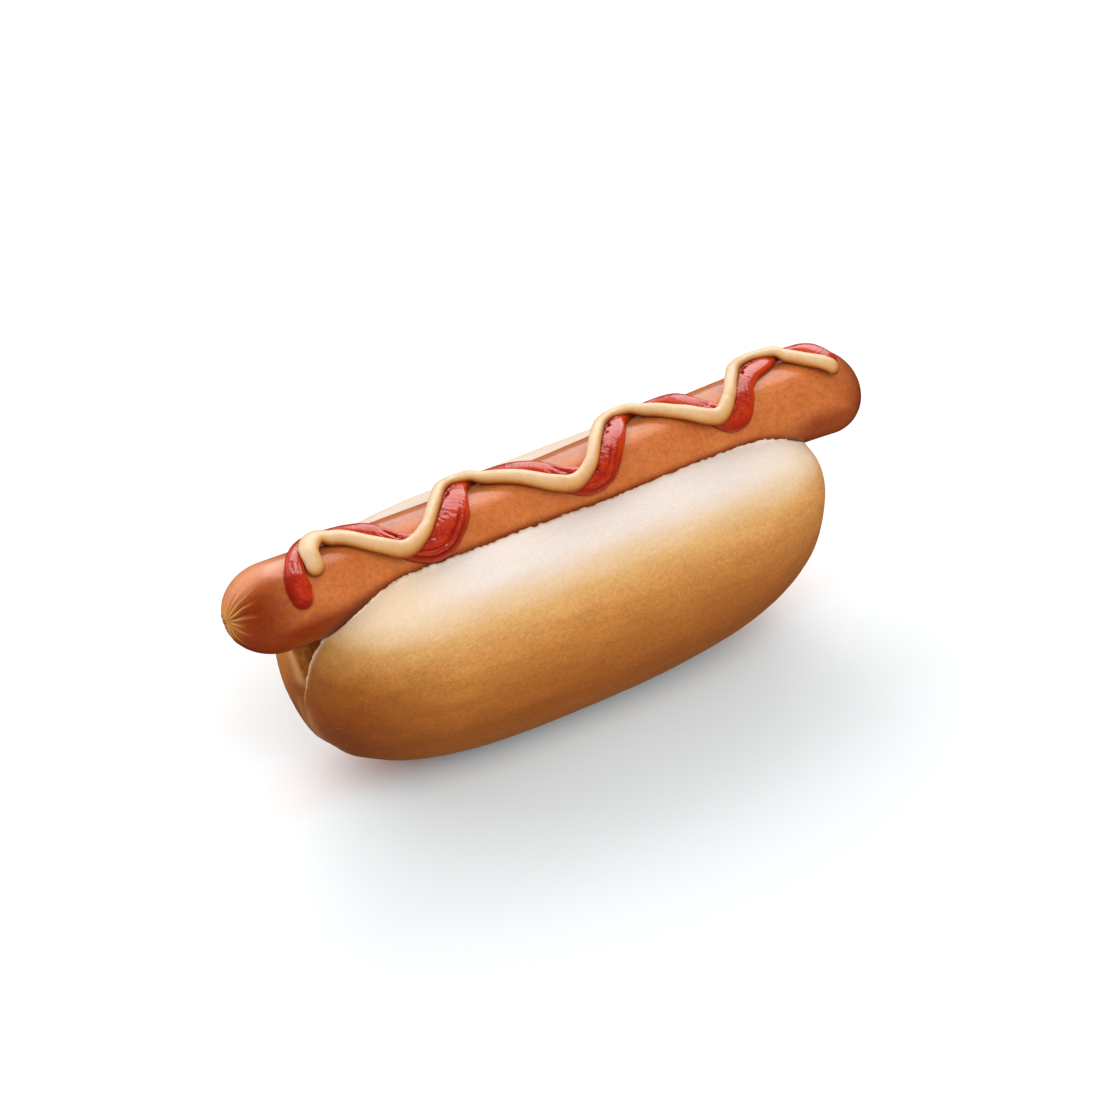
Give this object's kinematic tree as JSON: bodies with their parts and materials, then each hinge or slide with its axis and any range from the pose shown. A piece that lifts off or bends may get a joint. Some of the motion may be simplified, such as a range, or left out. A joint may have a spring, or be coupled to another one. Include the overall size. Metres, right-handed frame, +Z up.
{
  "type": "hot dog",
  "caption": "Hot dog: a smooth sausage held in the slit of a long soft bun, with a zigzag line of ketchup and one of mustard over its top.",
  "frame": {"origin": "under the middle of the sausage's length, on the surface that the bun stands on", "axes": "+X along the sausage, from its pinched end to its blunt end; +Z up; the near half of the bun is at -Y"},
  "size_m": [0.1816, 0.0589, 0.0735],
  "materials": {
    "bun": "soft baked crust, cream at the cut edge and golden brown below",
    "sausage": "smooth moist skin, orange-brown",
    "ketchup": "wet glossy red sauce",
    "mustard": "smooth pale beige-yellow sauce, soft sheen"
  },
  "bodies": {
    "root": {"bun": "bun", "sausage": "sausage", "ketchup": "ketchup", "mustard": "mustard"}
  },
  "joints": []
}
